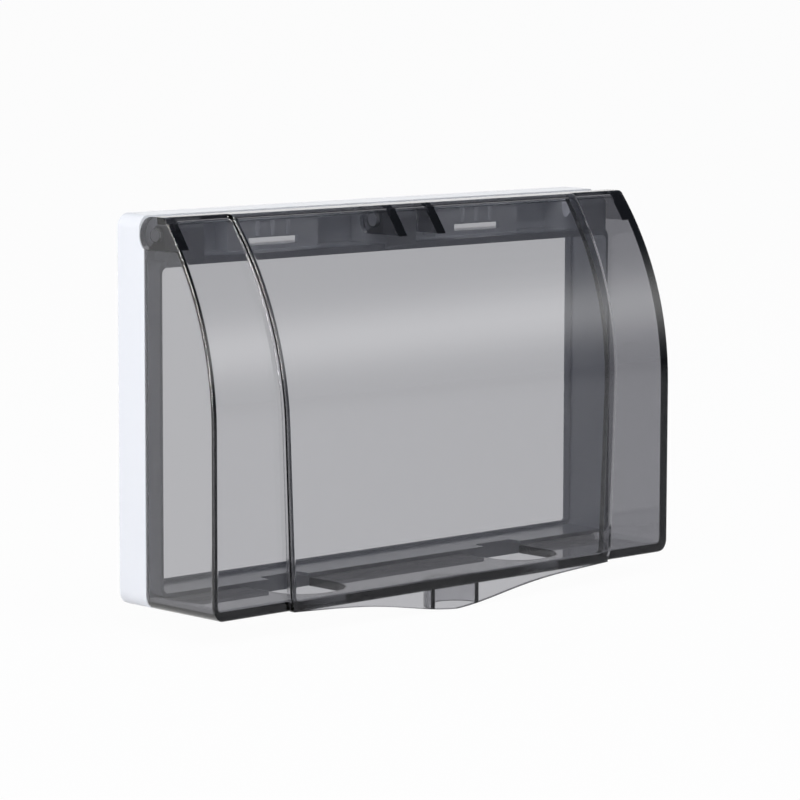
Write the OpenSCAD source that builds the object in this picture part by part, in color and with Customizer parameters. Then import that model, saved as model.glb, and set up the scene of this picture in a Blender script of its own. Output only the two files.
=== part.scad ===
// Waterproof socket cover: a wall frame with a hinged clear lid.
// Millimetres. +X right, -Y out of the wall, +Z up.
// The wall plane is Y = 0 and the outline is centred on the origin.

/* [Cover] */
// Overall width
cover_w = 190; // [170:1:240]
// Overall height, without the finger tab
cover_h = 115; // [100:1:150]
// Depth from the wall to the front of the raised window
cover_d = 45; // [40:0.5:56]
// Corner radius of the outline seen from the front
corner_r = 4; // [2:0.5:8]

/* [Lid] */
// Wall of the moulded lid
lid_t = 2.2; // [1.6:0.1:2.8]
// How far the window stands out of the two low ends
step_d = 2; // [1:0.25:4]
// Width of the window at its top
window_top_w = 142.8; // [120:0.5:150]
// Width of the window at its bottom
window_low_w = 133.6; // [110:0.5:140]
// Radius of the lid's curved front
window_r = 95; // [85:1:120]
// Height of the point where the front starts to curve back, from the middle
window_z = -3; // [-10:0.5:5]
// Radius between the lid's roof and its curved front
roof_r = 2.5; // [1.25:0.25:4]
// Radius along the lid's bottom front edge
foot_r = 1.0; // [0.9:0.1:3]
// Thickness of the lid's floor
floor_t = 2.6; // [1.8:0.1:3]
// Distance of the lid's top below the frame's top
lid_low = 0.3; // [0.2:0.1:1]
// Gap between the lid's rear edge and the frame
lid_gap = 0.3; // [0.2:0.05:1]

/* [Cable outlets] */
// Distance of each outlet from the middle
outlet_x = 45; // [30:0.5:55]
// Width of the outlet in the lid's floor
outlet_w = 25; // [18:0.5:30]
// Distance from the wall to the outlet's round front end
outlet_d = 35.9; // [30:0.1:38]
// Radius of the outlet's front corners
outlet_r = 11.5; // [5:0.25:12]
// Width of the gap in the frame's collar at each outlet
collar_gap_w = 16; // [10:0.5:22]

/* [Finger tab] */
// Width of the tab where it leaves the floor
tab_w = 132; // [80:1:133]
// How far the tab hangs below the floor
tab_drop = 6.9; // [4:0.1:12]
// Thickness of the tab
tab_t = 2; // [1.2:0.1:2.6]
// Outer width of the half-round finger recess behind the tab
scoop_w = 20; // [14:0.5:30]
// Height of that recess below the floor
scoop_d = 6; // [2:0.1:6]
// Wall of the finger recess
scoop_t = 1.5; // [1:0.1:2]

/* [Frame] */
// Depth of the frame
base_d = 12.4; // [10:0.2:14]
// Height of the top rail
rail_h = 15.1; // [14.5:0.1:18]
// Width of the frame's side bars
side_w = 3.6; // [3.5:0.1:8]
// Height of the frame's bottom bar
sill_h = 5; // [4.6:0.1:9]
// Corner radius of the opening
opening_r = 1.8; // [0.5:0.1:4]
// Wall of the collar around the opening
collar_t = 1; // [0.8:0.1:1.3]
// Thickness of the shelf under the rail's pockets
shelf_t = 2; // [1.2:0.1:2.2]
// How far the collar stands out of the frame
collar_d = 5.2; // [3:0.1:7]
// Skin over the top rail
skin_t = 2.6; // [2.2:0.1:3]
// How far the frame's top slopes down towards the front
top_fall = 0.4; // [0.2:0.1:1]
// Back wall of the rail's pockets, from the wall plane
pocket_back = 2.5; // [1.8:0.1:4]

/* [Screw boxes] */
// Distance of each box from the middle
box_x = 42.5; // [38:0.5:46]
// Width of a box
box_w = 36; // [28:0.5:38]
// Distance from the wall to the front of a box
box_d = 8; // [6:0.1:8.4]
// Wall of a box
box_t = 1.2; // [1:0.1:2]
// Distance from the frame's top down to the slot's lower edge
slot_low = 11.7; // [10.5:0.1:12.5]
// Length of the slot in a box
slot_l = 19.5; // [10:0.5:20]
// Height of the slot
slot_h = 2.2; // [1.5:0.1:3.5]
// Radius of the three ribs over each slot
rib_r = 0.9; // [0.5:0.1:1.2]
// Spacing of those ribs
rib_pitch = 6; // [3:0.5:8]

/* [Hinge] */
// Radius of the lid's rolled top edge
barrel_r = 5.4; // [5.2:0.1:6]
// Distance from the wall to the hinge axis
axis_d = 16; // [15.6:0.1:17]
// Radius of the frame's hinge studs
stud_r = 2; // [1.5:0.1:2.4]
// Radial play of a stud in its knuckle
hinge_play = 0.06; // [0.02:0.01:0.1]
// Radius of the lugs that carry the studs
lug_r = 2.8; // [2.4:0.1:2.8]
// Inner face of each end lug, from the middle
end_lug_x = 78.5; // [76:0.5:82]
// Width of the middle lug
mid_lug_w = 12; // [8:0.5:20]
// Wall of the knuckles beside the middle lug
web_t = 3.5; // [2.5:0.1:5]
// Length of each end knuckle, in from the lid's outer face
knuckle_l = 4.8; // [4:0.1:6]
// Side gap between a lug and a knuckle
hinge_side_gap = 0.3; // [0.2:0.05:0.6]
// Wall that closes the end knuckles on the outside
knuckle_wall = 2.2; // [1.5:0.1:2.6]
// Gap between a stud's end and the end of its bore
stud_short = 0.3; // [0.2:0.1:1]
// Flat underside of the knuckles, below the axis
knuckle_low = 4.3; // [3.5:0.1:4.8]
// How far round the rolled edge wraps behind the axis, in degrees
roll_back = 30; // [10:1:32]
// The same over the lugs, in degrees
roll_back_lug = 3; // [0:1:10]
// Gap between the frame and the lid's rolled edge, also when the lid is open
cove_gap = 0.3; // [0.2:0.05:0.6]

/* [Seal] */
// Width of the foam ring
foam_w = 2.7; // [2:0.1:3]
// Thickness of the foam ring
foam_t = 2.5; // [1.5:0.1:3]
// How far the foam shows inside the opening
foam_in = 0.75; // [0:0.05:1]
// How far the foam stands behind the frame
foam_proud = 0.4; // [0.2:0.05:1]
// Side gap of the foam in its rebate
foam_gap = 0.1; // [0.05:0.05:0.2]

/* [Hidden] */
half_w = cover_w / 2;
half_h = cover_h / 2;
low_d = cover_d - step_d;
axis_y = -axis_d;
lid_top = half_h - lid_low;
axis_z = lid_top - barrel_r;
rear_y = -(base_d + lid_gap);
far = 400;

// A rounding runs this far proud of the arc that it ends, so that the two cross cleanly.
proud = 0.03;
roof_z = lid_top - roof_r;

open_half = half_w - side_w;
open_top = half_h - rail_h;
open_low = -half_h + sill_h;
shelf_z = open_top + shelf_t;
rail_top = half_h - skin_t;
collar_y = -(base_d + collar_d);
slot_z = half_h - slot_low;

knuckle_x = half_w - knuckle_l;
end_lug_out = knuckle_x - hinge_side_gap;
web_in = mid_lug_w / 2 + hinge_side_gap;
web_out = web_in + web_t;
bore_r = stud_r + hinge_play;
bore_end = half_w - knuckle_wall;

// Bar along X whose outline is drawn in Y and Z.
module along_x(x0, x1) {
    translate([x0, 0, 0])
        rotate([90, 0, 90])
            linear_extrude(height = x1 - x0)
                children();
}

// Slab from y0 back to y1 whose outline is drawn in X and Z.
module along_y(y0, y1) {
    translate([0, y1, 0])
        rotate([90, 0, 0])
            linear_extrude(height = y1 - y0)
                children();
}

module box2(x0, y0, x1, y1) {
    translate([x0, y0])
        square([x1 - x0, y1 - y0]);
}

// Rectangle with round corners, given by its limits.
module round_box2(x0, y0, x1, y1, r) {
    box2(x0 + r, y0, x1 - r, y1);
    box2(x0, y0 + r, x1, y1 - r);
    for (x = [x0 + r, x1 - r], y = [y0 + r, y1 - r])
        translate([x, y])
            circle(r = r, $fn = 64);
}

// Inset of the lid's hollow at the floor.
function floor_in(inset) = inset > 0 ? floor_t : 0;

// Where the roof ends above a curved front at depth d: there its rounding starts.
function roof_end(d) = window_r - d - sqrt(pow(window_r - roof_r + proud, 2) - pow(roof_z - window_z, 2));

// Everything in front of and below the line from an arc's centre
// through the centre of the rounding that the arc runs into.
module front_of(cy, cz, py, pz, inset) {
    slope = (pz - cz) / (py - cy);
    polygon([
        [rear_y, cz + slope * (rear_y - cy)],
        [py - 30, pz - 30 * slope],
        [-far, pz - 30 * slope],
        [-far, -half_h + floor_in(inset)],
        [rear_y, -half_h + floor_in(inset)]
    ]);
}

// Side view of the part below the height where the front starts to curve.
module upright2(d, z, inset) {
    r = foot_r - min(inset, foot_r - 0.8);
    z0 = -half_h + floor_in(inset);
    box2(-d + inset, z0 + r, rear_y, z);
    box2(-d + inset + r, z0, rear_y, z);
    translate([-d + inset + r, z0 + r])
        circle(r = r, $fn = 64);
}

// The low lid across its full width, or its hollow.
module low_form(inset) {
    c = corner_r - min(inset, corner_r - 0.8);
    half = half_w - inset;
    intersection() {
        along_x(-half, half)
            side2(low_d, inset);
        along_y(-far, 0)
            round_box2(-half, -half_h + floor_in(inset), half, far, c);
    }
}

// Side view of the lid at depth d, or of its hollow: upright below, then one arc up to
// the flat roof, and the rolled edge behind.
module side2(d, inset) {
    cy = window_r - d;
    y = roof_end(d);
    intersection() {
        translate([cy, window_z])
            circle(r = window_r - inset, $fn = 180);
        front_of(cy, window_z, y, roof_z, inset);
        box2(-far, window_z - 1, far, far);
    }
    upright2(d, window_z, inset);
    translate([y, roof_z])
        circle(r = roof_r - min(inset, roof_r - 0.8), $fn = 64);
    intersection() {
        polygon([
            [y, lid_top - inset],
            [axis_y, lid_top - inset],
            [axis_y, axis_z],
            [rear_y, axis_z - barrel_r * 0.7],
            [rear_y, window_z - 1],
            [-d / 2, window_z - 1],
            [y - 0.5, roof_z - 1],
            [y, roof_z]
        ]);
        box2(-far, -far, rear_y, lid_top - inset);
    }
    translate([axis_y, axis_z])
        circle(r = barrel_r - inset, $fn = 96);
}

// Front view of the window, narrower towards the bottom.
module window_front2(inset) {
    c = corner_r - min(inset, corner_r - 0.8);
    z0 = -half_h + floor_in(inset);
    slope = (window_top_w - window_low_w) / 2 / cover_h;
    x0 = window_low_w / 2 - inset;
    x1 = x0 + slope * cover_h;
    polygon([
        [-x0 - slope * c, z0 + c],
        [-x1, half_h],
        [x1, half_h],
        [x0 + slope * c, z0 + c]
    ]);
    box2(-x0 + c, z0, x0 - c, z0 + c + 1);
    for (s = [-1, 1])
        translate([s * (x0 - c), z0 + c])
            circle(r = c, $fn = 64);
}

module window_form(inset) {
    intersection() {
        along_x(-window_top_w / 2, window_top_w / 2)
            side2(cover_d, inset);
        along_y(-far, 0)
            window_front2(inset);
    }
}

module lid_form(inset) {
    low_form(inset);
    window_form(inset);
}

// Sector behind the hinge axis between two angles from straight up.
module behind2(a0, a1) {
    polygon([
        [axis_y, axis_z],
        [axis_y + 12 * sin(a0), axis_z + 12 * cos(a0)],
        [axis_y + 24 * sin((a0 + a1) / 2), axis_z + 24 * cos((a0 + a1) / 2)],
        [axis_y + 12 * sin(a1), axis_z + 12 * cos(a1)]
    ]);
}

// Solid web across the lid's top between two positions, cut flat below the axis.
module web(x0, x1) {
    intersection() {
        lid_form(0);
        along_x(x0, x1)
            box2(-far, axis_z - knuckle_low, far, far);
    }
}

module outlet2() {
    d = outlet_d;
    round_box2(-outlet_w / 2, -d, outlet_w / 2, -d + 2 * outlet_r + 1, outlet_r);
    box2(-outlet_w / 2, -d + outlet_r, outlet_w / 2, 0);
}

function tab_share(u) = 0.5 * pow((1 + cos(180 * u)) / 2, 2.5) + 0.5 * (1 - u);

// Bell outline of the finger tab.
module tab2() {
    n = 24;
    polygon(concat(
        [[-tab_w / 2, -half_h + lid_t]],
        [for (i = [-n:n]) [tab_w / 2 * i / n, -half_h - tab_drop * tab_share(abs(i) / n)]],
        [[tab_w / 2, -half_h + lid_t]]
    ));
}

module finger_tab() {
    y0 = -cover_d + foot_r * 0.3;
    along_y(y0, y0 + tab_t)
        tab2();
    translate([0, y0 + tab_t - 0.5, -half_h - scoop_d])
        linear_extrude(height = scoop_d + 0.5)
            difference() {
                circle(d = scoop_w, $fn = 96);
                circle(d = scoop_w - 2 * scoop_t, $fn = 96);
                box2(-far, -far, far, 0);
            }
}

module lid() {
    color([0.36, 0.36, 0.39, 0.55])
    difference() {
        union() {
            difference() {
                lid_form(0);
                lid_form(lid_t);
                along_x(-knuckle_x, knuckle_x)
                    behind2(roll_back, 146);
                along_x(end_lug_x - hinge_side_gap, knuckle_x)
                    behind2(roll_back_lug, 60);
                along_x(-knuckle_x, -end_lug_x + hinge_side_gap)
                    behind2(roll_back_lug, 60);
                along_x(-web_in, web_in)
                    behind2(roll_back_lug, 60);
            }
            for (s = [-1, 1]) {
                web(s > 0 ? knuckle_x : -half_w, s > 0 ? half_w : -knuckle_x);
                web(s > 0 ? web_in : -web_out, s > 0 ? web_out : -web_in);
            }
            finger_tab();
        }
        translate([0, axis_y, axis_z])
            rotate([0, 90, 0])
                cylinder(r = bore_r, h = 2 * bore_end, center = true, $fn = 64);
        for (s = [-1, 1])
            translate([s * outlet_x, 0, -half_h - 1])
                linear_extrude(height = floor_t + 2)
                    outlet2();
    }
}

// The three hollows that lighten the rail on each side.
module rail_hollows() {
    box_in = box_x - box_w / 2;
    box_out = box_x + box_w / 2;
    for (s = [-1, 1]) {
        along_y(-base_d - 1, -pocket_back)
            scale([s, 1])
                box2(mid_lug_w / 2, shelf_z, box_in, rail_top);
        along_y(-base_d - 1, -pocket_back)
            scale([s, 1])
                box2(box_out, shelf_z, end_lug_x, rail_top);
        along_y(-base_d - 1, -box_d)
            scale([s, 1])
                box2(box_in - 1, shelf_z, box_out + 1, rail_top);
        along_y(-box_d + box_t, 1)
            scale([s, 1])
                box2(box_in + box_t, slot_z, box_out - box_t, rail_top);
        translate([s * box_x, 0, 0])
            along_y(-box_d - 1, 1)
                box2(-slot_l / 2, slot_z, slot_l / 2, slot_z + slot_h);
    }
}

module lug2() {
    translate([axis_y, axis_z])
        circle(r = lug_r, $fn = 64);
    polygon([
        [axis_y - lug_r, axis_z],
        [axis_y, axis_z],
        [-base_d, axis_z - 3.4],
        [-base_d + 3.5, axis_z - 3.4],
        [-base_d + 3.5, open_top],
        [axis_y - lug_r + 1.5, open_top],
        [axis_y - lug_r, open_top + 1.5]
    ]);
}

module base_frame() {
    color([0.95, 0.96, 0.98])
    union() {
        difference() {
            union() {
                along_y(-base_d, -foam_proud)
                    round_box2(-half_w, -half_h, half_w, half_h, corner_r);
                along_y(collar_y, -base_d + 1)
                    round_box2(-open_half - collar_t, open_low - collar_t,
                        open_half + collar_t, shelf_z, opening_r + collar_t);
            }
            along_y(-far, far)
                round_box2(-open_half, open_low, open_half, open_top, opening_r);
            rail_hollows();
            // Hollow that the rolled edge turns in, and the rebate that the roof turns up into.
            translate([0, axis_y, axis_z])
                rotate([0, 90, 0])
                    cylinder(r = barrel_r + cove_gap, h = cover_w + 2, center = true, $fn = 96);
            along_x(-half_w - 1, half_w + 1)
                box2(-far, axis_z, axis_y + barrel_r + cove_gap, far);
            // The top slopes down to the front.
            along_x(-half_w - 1, half_w + 1)
                polygon([
                    [-2, half_h],
                    [-base_d - 1, half_h - top_fall * (base_d - 1) / (base_d - 2)],
                    [-base_d - 1, half_h + 5],
                    [-2, half_h + 5]
                ]);
            // Gaps in the collar where the cables leave.
            for (s = [-1, 1])
                translate([s * outlet_x, 0, -half_h - 1])
                    linear_extrude(height = sill_h + 4)
                        round_box2(-collar_gap_w / 2, collar_y - 6,
                            collar_gap_w / 2, -base_d - 0.4, 2);
            // Rebate for the foam ring.
            along_y(-foam_t, 1)
                round_box2(-open_half + foam_in - foam_w - foam_gap, open_low + foam_in - foam_w - foam_gap,
                    open_half - foam_in + foam_w + foam_gap, open_top - foam_in + foam_w + foam_gap,
                    opening_r + foam_w - foam_in);
        }
        for (s = [-1, 1])
            translate([s > 0 ? 0 : -end_lug_x - end_lug_out, 0, 0])
                along_x(end_lug_x, end_lug_out)
                    lug2();
        along_x(-mid_lug_w / 2, mid_lug_w / 2)
            lug2();
        for (s = [-1, 1])
            translate([s * (end_lug_out - 1), axis_y, axis_z])
                rotate([0, s * 90, 0])
                    cylinder(r = stud_r, h = bore_end - stud_short - end_lug_out + 1, $fn = 64);
        translate([0, axis_y, axis_z])
            rotate([0, 90, 0])
                cylinder(r = stud_r, h = 2 * (web_out - stud_short), center = true, $fn = 64);
        for (s = [-1, 1], i = [-1:1])
            translate([s * box_x + i * rib_pitch, -box_d, slot_z + slot_h + 0.6])
                cylinder(r = rib_r, h = rail_top - slot_z - slot_h, $fn = 32);
    }
}

module seal_ring() {
    x0 = open_half - foam_in;
    z0 = open_low + foam_in;
    z1 = open_top - foam_in;
    color([0.80, 0.81, 0.83])
    along_y(-foam_t, 0)
        difference() {
            round_box2(-x0 - foam_w, z0 - foam_w, x0 + foam_w, z1 + foam_w, opening_r + foam_w - foam_in);
            round_box2(-x0, z0, x0, z1, max(opening_r - foam_in, 0.4));
        }
}

base_frame();
lid();
seal_ring();
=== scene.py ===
import math

import bpy
import numpy as np
from mathutils import Matrix, Vector


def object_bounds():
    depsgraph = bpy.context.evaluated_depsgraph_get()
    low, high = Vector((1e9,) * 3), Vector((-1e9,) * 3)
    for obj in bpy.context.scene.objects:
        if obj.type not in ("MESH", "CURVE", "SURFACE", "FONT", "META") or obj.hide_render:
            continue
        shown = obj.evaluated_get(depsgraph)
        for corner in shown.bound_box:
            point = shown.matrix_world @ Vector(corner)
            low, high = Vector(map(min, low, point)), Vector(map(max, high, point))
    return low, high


bl_info = {
    "name": "Waterproof Socket Cover",
    "version": (1, 0, 0),
    "blender": (4, 5, 0),
    "location": "View3D > Sidebar > Socket Cover",
    "description": "Dresses the packed socket cover: white frame, smoky clear lid and foam ring",
    "category": "Object",
}

MM = 0.001
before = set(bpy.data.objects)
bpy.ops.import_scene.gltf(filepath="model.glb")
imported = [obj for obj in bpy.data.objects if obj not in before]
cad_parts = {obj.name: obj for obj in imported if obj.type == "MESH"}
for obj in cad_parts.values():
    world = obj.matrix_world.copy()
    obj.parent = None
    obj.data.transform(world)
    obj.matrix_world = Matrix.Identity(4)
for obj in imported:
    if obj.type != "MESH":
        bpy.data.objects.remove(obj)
CAD_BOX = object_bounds()


class Sock:
    """One node socket, so that shader maths reads as plain arithmetic."""

    def __init__(self, tree, out):
        self.tree = tree
        self.out = out

    def _math(self, operation, a, b):
        return make_node(self.tree, "ShaderNodeMath", {"operation": operation}, [a, b])

    def __add__(self, other):
        return self._math("ADD", self, other)

    def __radd__(self, other):
        return self._math("ADD", other, self)

    def __sub__(self, other):
        return self._math("SUBTRACT", self, other)

    def __rsub__(self, other):
        return self._math("SUBTRACT", other, self)

    def __mul__(self, other):
        return self._math("MULTIPLY", self, other)

    def __rmul__(self, other):
        return self._math("MULTIPLY", other, self)

    def __pow__(self, other):
        return self._math("POWER", self, other)

    def most(self, other):
        return self._math("MAXIMUM", self, other)


def make_node(tree, kind, settings=None, values=None, output=0):
    """Adds a node: its settings first, then the values or links of its sockets, by order or by name."""
    node = tree.nodes.new(kind)
    for key, value in (settings or {}).items():
        if key == "stops":
            ramp = node.color_ramp
            while len(ramp.elements) < len(value):
                ramp.elements.new(0.5)
            for element, (position, colour) in zip(ramp.elements, value):
                element.position = position
                element.color = colour
        else:
            setattr(node, key, value)
    pairs = values.items() if isinstance(values, dict) else enumerate(values or [])
    for key, value in pairs:
        if isinstance(value, Sock):
            tree.links.new(value.out, node.inputs[key])
        elif value is not None:
            node.inputs[key].default_value = value
    return Sock(tree, node.outputs[output])


def new_material(name):
    """An empty node material and its tree."""
    material = bpy.data.materials.new(name)
    material.use_nodes = True
    material.node_tree.nodes.clear()
    return material, material.node_tree


def object_coordinates(tree):
    return make_node(tree, "ShaderNodeTexCoord", output=3)


def noise(tree, coords, scale, detail=2.0, roughness=0.5):
    """Noise from 0 to 1 whose lumps are 1/scale metres across."""
    return make_node(
        tree,
        "ShaderNodeTexNoise",
        {},
        {"Vector": coords, "Scale": scale, "Detail": detail, "Roughness": roughness},
    )


def finish_material(tree, surface, volume=None):
    values = {"Surface": surface}
    if volume is not None:
        values["Volume"] = volume
    make_output = tree.nodes.new("ShaderNodeOutputMaterial")
    for key, value in values.items():
        tree.links.new(value.out, make_output.inputs[key])


def moulded_white(colour, roughness):
    """Glossy white moulded plastic: a faint mould texture and slightly uneven gloss."""
    material, tree = new_material("moulded_white")
    coords = object_coordinates(tree)
    cloud = noise(tree, coords, 38.0, 3.0)
    skin = noise(tree, coords, 2600.0, 2.0)
    flow = noise(tree, coords, 160.0, 2.0)
    shade = make_node(
        tree,
        "ShaderNodeMix",
        {"data_type": "RGBA", "blend_type": "MIX"},
        {0: cloud, 6: [c * 0.985 for c in colour[:3]] + [1.0], 7: list(colour[:3]) + [1.0]},
        2,
    )
    bump = make_node(
        tree,
        "ShaderNodeBump",
        {},
        {"Strength": 0.06, "Distance": 0.00002, "Height": skin * 0.6 + flow * 0.9},
    )
    surface = make_node(
        tree,
        "ShaderNodeBsdfPrincipled",
        {},
        {
            "Base Color": shade,
            "Roughness": roughness + 0.06 * (flow - 0.5),
            "IOR": 1.53,
            "Subsurface Weight": 0.0,
            "Normal": bump,
        },
    )
    finish_material(tree, surface)
    return material


def smoky_clear(tint, density, gloss, edge_round):
    """Smoky clear plastic: light is lost along its way through the wall, so edges turn near black.

    The moulded edges are rounded in the shading only, by edge_round, and catch thin lines of light.
    """
    material, tree = new_material("smoky_clear")
    coords = object_coordinates(tree)
    flow = noise(tree, coords, 55.0, 2.0)
    rounded = make_node(tree, "ShaderNodeBevel", {"samples": 6}, {"Radius": edge_round})
    bump = make_node(
        tree,
        "ShaderNodeBump",
        {},
        {"Strength": 0.01, "Distance": 0.0001, "Height": flow, "Normal": rounded},
    )
    surface = make_node(
        tree,
        "ShaderNodeBsdfPrincipled",
        {},
        {
            "Base Color": [0.99, 0.99, 1.0, 1.0],
            "Roughness": gloss,
            "IOR": 1.585,
            "Transmission Weight": 1.0,
            "Normal": bump,
        },
    )
    volume = make_node(
        tree,
        "ShaderNodeVolumeAbsorption",
        {},
        {"Color": list(tint[:3]) + [1.0], "Density": density},
    )
    finish_material(tree, surface, volume)
    return material


def closed_cell_foam(colour):
    """Pale closed-cell foam: fine pores and a matte skin."""
    material, tree = new_material("closed_cell_foam")
    coords = object_coordinates(tree)
    pores = make_node(
        tree,
        "ShaderNodeTexVoronoi",
        {"feature": "F1"},
        {"Vector": coords, "Scale": 1900.0},
    )
    cloud = noise(tree, coords, 120.0, 3.0)
    shade = make_node(
        tree,
        "ShaderNodeMix",
        {"data_type": "RGBA", "blend_type": "MIX"},
        {
            0: pores * 0.7 + cloud * 0.3,
            6: [c * 0.86 for c in colour[:3]] + [1.0],
            7: list(colour[:3]) + [1.0],
        },
        2,
    )
    bump = make_node(
        tree,
        "ShaderNodeBump",
        {},
        {"Strength": 0.35, "Distance": 0.0001, "Height": pores},
    )
    surface = make_node(
        tree,
        "ShaderNodeBsdfPrincipled",
        {},
        {"Base Color": shade, "Roughness": 0.85, "IOR": 1.4, "Normal": bump},
    )
    finish_material(tree, surface)
    return material


def seen_as_backdrop(tree):
    """1 where the camera sees a backdrop, also through the lid or mirrored, and 0 where it only lights things.

    The studio is white behind the object, up to some height, and dark on the camera's side and
    above. So a mirrored ray counts by how far it runs towards +Y and how level it is, with soft edges.
    """
    path = tree.nodes.new("ShaderNodeLightPath")
    seen = Sock(tree, path.outputs["Is Camera Ray"])
    through = Sock(tree, path.outputs["Is Transmission Ray"])
    geometry = tree.nodes.new("ShaderNodeNewGeometry")
    split = tree.nodes.new("ShaderNodeSeparateXYZ")
    tree.links.new(geometry.outputs["Incoming"], split.inputs[0])
    behind = make_node(
        tree, "ShaderNodeMapRange", {"interpolation_type": "SMOOTHSTEP"},
        {"Value": Sock(tree, split.outputs["Y"]), "From Min": 0.3, "From Max": -0.3, "To Min": 0.0, "To Max": 1.0})
    level = make_node(
        tree, "ShaderNodeMapRange", {"interpolation_type": "SMOOTHSTEP"},
        {"Value": Sock(tree, split.outputs["Z"]), "From Min": -0.45, "From Max": -0.2, "To Min": 0.0, "To Max": 1.0})
    gloss = Sock(tree, path.outputs["Is Glossy Ray"]) * behind * level
    unscattered = make_node(
        tree, "ShaderNodeMath", {"operation": "LESS_THAN"}, [Sock(tree, path.outputs["Diffuse Depth"]), 0.5])
    return seen.most(gloss).most(through) * unscattered


def studio_floor_material(colour, shown):
    """Pale floor that shows as white behind the object, and as white through glass and in gloss, with its shadow kept."""
    material, tree = new_material("studio_floor")
    plain = make_node(tree, "ShaderNodeBsdfDiffuse", {}, {"Color": list(colour[:3]) + [1.0]})
    white = make_node(tree, "ShaderNodeEmission", {}, {"Color": [1.0, 1.0, 1.0, 1.0], "Strength": 1.0})
    surface = make_node(
        tree, "ShaderNodeMixShader", {}, {0: seen_as_backdrop(tree) * shown, 1: plain, 2: white})
    finish_material(tree, surface)
    return material


def dress(node, material):
    """Gives a CAD node its material."""
    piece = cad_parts[node]
    piece.data.materials.clear()
    piece.data.materials.append(material)
    return piece


def aim(obj, place, yaw, pitch, roll=0.0):
    """Points a camera or lamp: yaw to the right of +Y, pitch below the horizon and roll, in degrees."""
    y, p, r = (math.radians(a) for a in (yaw, pitch, roll))
    forward = Vector((math.sin(y) * math.cos(p), math.cos(y) * math.cos(p), -math.sin(p)))
    right = Vector((math.cos(y), -math.sin(y), 0.0))
    up = right.cross(forward)
    side = right * math.cos(r) + up * math.sin(r)
    top = side.cross(forward)
    turn = Matrix((side, top, -forward)).transposed().to_4x4()
    obj.matrix_world = Matrix.Translation(place) @ turn


def softbox(name, place, target, size, power):
    """A soft square lamp that faces the target; rays that come through the lid do not see it."""
    data = bpy.data.lights.new(name, "AREA")
    data.shape = "RECTANGLE"
    data.size, data.size_y = size
    data.energy = power
    lamp = bpy.data.objects.new(name, data)
    bpy.context.scene.collection.objects.link(lamp)
    lamp.visible_transmission = False
    lamp.location = place
    lamp.rotation_euler = (Vector(target) - Vector(place)).to_track_quat("-Z", "Y").to_euler()
    return lamp


def mirrored_card(name, place, size, spread, strength):
    """A clear card that faces the object, glows along its middle and fades to nothing above and below.

    Its glow is strength * exp(-(h / spread)^2), h being the height over its middle. It shows only
    as a reflection: the lid's curved front mirrors one as the soft band of light across the photo,
    and the rounded upright edges mirror another as thin bright lines.
    """
    material, tree = new_material(name)
    height = tree.nodes.new("ShaderNodeSeparateXYZ")
    tree.links.new(object_coordinates(tree).out, height.inputs[0])
    step = Sock(tree, height.outputs[1]) * (1.0 / spread)
    glow = make_node(tree, "ShaderNodeMath", {"operation": "EXPONENT"}, [step * step * -1.0])
    shade = make_node(tree, "ShaderNodeEmission", {}, {"Color": [1.0, 1.0, 1.0, 1.0], "Strength": glow * strength})
    clear = make_node(tree, "ShaderNodeBsdfTransparent")
    finish_material(tree, make_node(tree, "ShaderNodeAddShader", {}, [shade, clear]))
    w, h = size[0] / 2, size[1] / 2
    mesh = bpy.data.meshes.new(name)
    mesh.from_pydata([(-w, -h, 0.0), (w, -h, 0.0), (w, h, 0.0), (-w, h, 0.0)], [], [(0, 1, 2, 3)])
    mesh.materials.append(material)
    card = bpy.data.objects.new(name, mesh)
    bpy.context.scene.collection.objects.link(card)
    card.location = place
    card.rotation_euler = (-Vector(place)).to_track_quat("Z", "Y").to_euler()
    card.visible_diffuse = False
    card.visible_transmission = False
    return card


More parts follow.
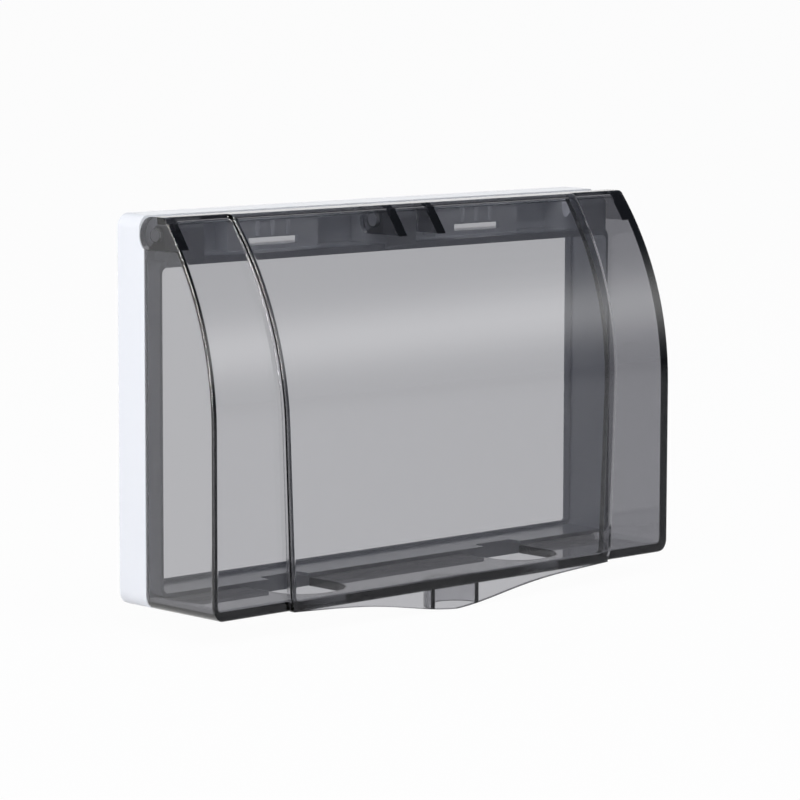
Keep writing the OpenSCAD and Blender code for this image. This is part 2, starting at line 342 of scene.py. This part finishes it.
class SocketCoverSettings(bpy.types.PropertyGroup):
    frame_colour: bpy.props.FloatVectorProperty(
        name="Frame colour", description="Colour of the white moulded frame",
        default=(0.90, 0.915, 0.95), size=3, min=0.0, max=1.0, subtype="COLOR")
    frame_gloss: bpy.props.FloatProperty(
        name="Frame roughness", description="Roughness of the white plastic",
        default=0.22, min=0.02, max=1.0, subtype="FACTOR")
    smoke_tint: bpy.props.FloatVectorProperty(
        name="Smoke tint", description="Colour that the smoky plastic lets through a little more",
        default=(0.0, 0.0, 0.04), size=3, min=0.0, max=1.0, subtype="COLOR")
    smoke_density: bpy.props.FloatProperty(
        name="Smoke density", description="Absorption per metre of the smoky plastic",
        default=326.0, min=0.0, max=2000.0)
    smoke_gloss: bpy.props.FloatProperty(
        name="Lid roughness", description="Roughness of the lid's surface",
        default=0.02, min=0.0, max=1.0, subtype="FACTOR")
    edge_round: bpy.props.FloatProperty(
        name="Edge rounding", description="Radius of the lid's moulded edges",
        default=0.0006, min=0.0, max=0.002, unit="LENGTH")
    foam_colour: bpy.props.FloatVectorProperty(
        name="Foam colour", description="Colour of the foam ring",
        default=(0.80, 0.81, 0.84), size=3, min=0.0, max=1.0, subtype="COLOR")
    floor_colour: bpy.props.FloatVectorProperty(
        name="Floor colour", description="Colour of the studio floor",
        default=(0.6, 0.6, 0.62), size=3, min=0.0, max=1.0, subtype="COLOR")
    floor_drop: bpy.props.FloatProperty(
        name="Floor drop", description="Height of the object's lowest point over the floor",
        default=0.0, min=0.0, max=0.5, unit="LENGTH")
    side_light: bpy.props.FloatProperty(
        name="Side light", description="Power of the softbox on the left in watts",
        default=15.2, min=0.0, max=100.0)
    top_light: bpy.props.FloatProperty(
        name="Top light", description="Power of the softbox above in watts",
        default=16.0, min=0.0, max=100.0)
    sheen: bpy.props.FloatProperty(
        name="Sheen", description="Brightness of the card that the lid's front mirrors",
        default=1.95, min=0.0, max=20.0)
    edge_shine: bpy.props.FloatProperty(
        name="Edge shine", description="Brightness of the card that the upright edges mirror",
        default=30.0, min=0.0, max=1000.0)
    ambient: bpy.props.FloatProperty(
        name="Ambient", description="Strength of the plain world light",
        default=0.135, min=0.0, max=2.0)
    lens: bpy.props.FloatProperty(
        name="Lens", description="Focal length of the camera in millimetres",
        default=163.6, min=20.0, max=400.0)


class SCENE_OT_cover_frame(bpy.types.Operator):
    """Finish the white frame"""
    bl_idname = "scene.cover_frame"
    bl_label = "White Frame"

    def execute(self, context):
        values = context.scene.socket_cover
        dress("base_frame", moulded_white(values.frame_colour, values.frame_gloss))
        return {"FINISHED"}


class SCENE_OT_cover_lid(bpy.types.Operator):
    """Finish the smoky clear lid"""
    bl_idname = "scene.cover_lid"
    bl_label = "Smoky Lid"

    def execute(self, context):
        values = context.scene.socket_cover
        plastic = smoky_clear(values.smoke_tint, values.smoke_density, values.smoke_gloss, values.edge_round)
        dress("lid", plastic)
        return {"FINISHED"}


class SCENE_OT_cover_foam(bpy.types.Operator):
    """Finish the foam ring"""
    bl_idname = "scene.cover_foam"
    bl_label = "Foam Ring"

    def execute(self, context):
        values = context.scene.socket_cover
        dress("seal_ring", closed_cell_foam(values.foam_colour))
        return {"FINISHED"}


class SCENE_OT_cover_stage(bpy.types.Operator):
    """Make the floor, the lamps, the world and the camera"""
    bl_idname = "scene.cover_stage"
    bl_label = "Stage"

    def execute(self, context):
        values = context.scene.socket_cover
        scene = context.scene
        low = CAD_BOX[0].z - values.floor_drop
        half = 30.0
        mesh = bpy.data.meshes.new("studio_floor")
        corners = [(-half, -half, low), (half, -half, low), (half, half, low), (-half, half, low)]
        mesh.from_pydata(corners, [], [(0, 1, 2, 3)])
        mesh.materials.append(studio_floor_material(values.floor_colour, 0.97))
        floor = bpy.data.objects.new("studio_floor", mesh)
        scene.collection.objects.link(floor)

        softbox("side_softbox", (-1.3, -0.5, 0.35), (0.0, 0.0, 0.0), (1.0, 1.0), values.side_light)
        softbox("top_softbox", (-0.1, -0.6, 1.4), (0.0, 0.0, 0.0), (1.2, 1.2), values.top_light)
        mirrored_card("sheen_card", (1.21, -1.24, 0.49), (2.6, 1.6), 0.26, values.sheen)
        mirrored_card("edge_card", (-1.5, -0.1, 0.15), (0.9, 2.0), 1.2, values.edge_shine)

        world = bpy.data.worlds.new("studio_world")
        world.use_nodes = True
        tree = world.node_tree
        tree.nodes.clear()
        light = make_node(tree, "ShaderNodeBackground", {}, {"Color": [0.72, 0.80, 1.0, 1.0], "Strength": values.ambient})
        white = make_node(tree, "ShaderNodeBackground", {}, {"Color": [1.0, 1.0, 1.0, 1.0], "Strength": 0.97})
        surface = make_node(tree, "ShaderNodeMixShader", {}, {0: seen_as_backdrop(tree), 1: light, 2: white})
        out = tree.nodes.new("ShaderNodeOutputWorld")
        tree.links.new(surface.out, out.inputs["Surface"])
        scene.world = world
        scene.view_settings.view_transform = "Standard"

        data = bpy.data.cameras.new("photo_camera")
        data.sensor_width = 36.0
        data.lens = values.lens
        data.clip_start, data.clip_end = 0.01, 200.0
        camera = bpy.data.objects.new("photo_camera", data)
        scene.collection.objects.link(camera)
        aim(camera, (-0.75757, -0.82069, 0.13080), 43.3856, 6.9230, 0.1351)
        scene.camera = camera
        return {"FINISHED"}


class VIEW3D_PT_socket_cover(bpy.types.Panel):
    """Sizes, colours and steps of the socket cover"""
    bl_label = "Socket Cover"
    bl_space_type = "VIEW_3D"
    bl_region_type = "UI"
    bl_category = "Socket Cover"

    def draw(self, context):
        values = context.scene.socket_cover
        for name in SocketCoverSettings.__annotations__:
            self.layout.prop(values, name)
        for step in STEPS:
            self.layout.operator(step.bl_idname)


STEPS = (SCENE_OT_cover_frame, SCENE_OT_cover_lid, SCENE_OT_cover_foam, SCENE_OT_cover_stage)
CLASSES = (SocketCoverSettings,) + STEPS + (VIEW3D_PT_socket_cover,)


def register():
    for cls in CLASSES:
        bpy.utils.register_class(cls)
    bpy.types.Scene.socket_cover = bpy.props.PointerProperty(type=SocketCoverSettings)


def unregister():
    del bpy.types.Scene.socket_cover
    for cls in reversed(CLASSES):
        bpy.utils.unregister_class(cls)


def main():
    register()
    bpy.ops.scene.cover_frame()
    bpy.ops.scene.cover_lid()
    bpy.ops.scene.cover_foam()
    bpy.ops.scene.cover_stage()


if __name__ == "__main__":
    main()
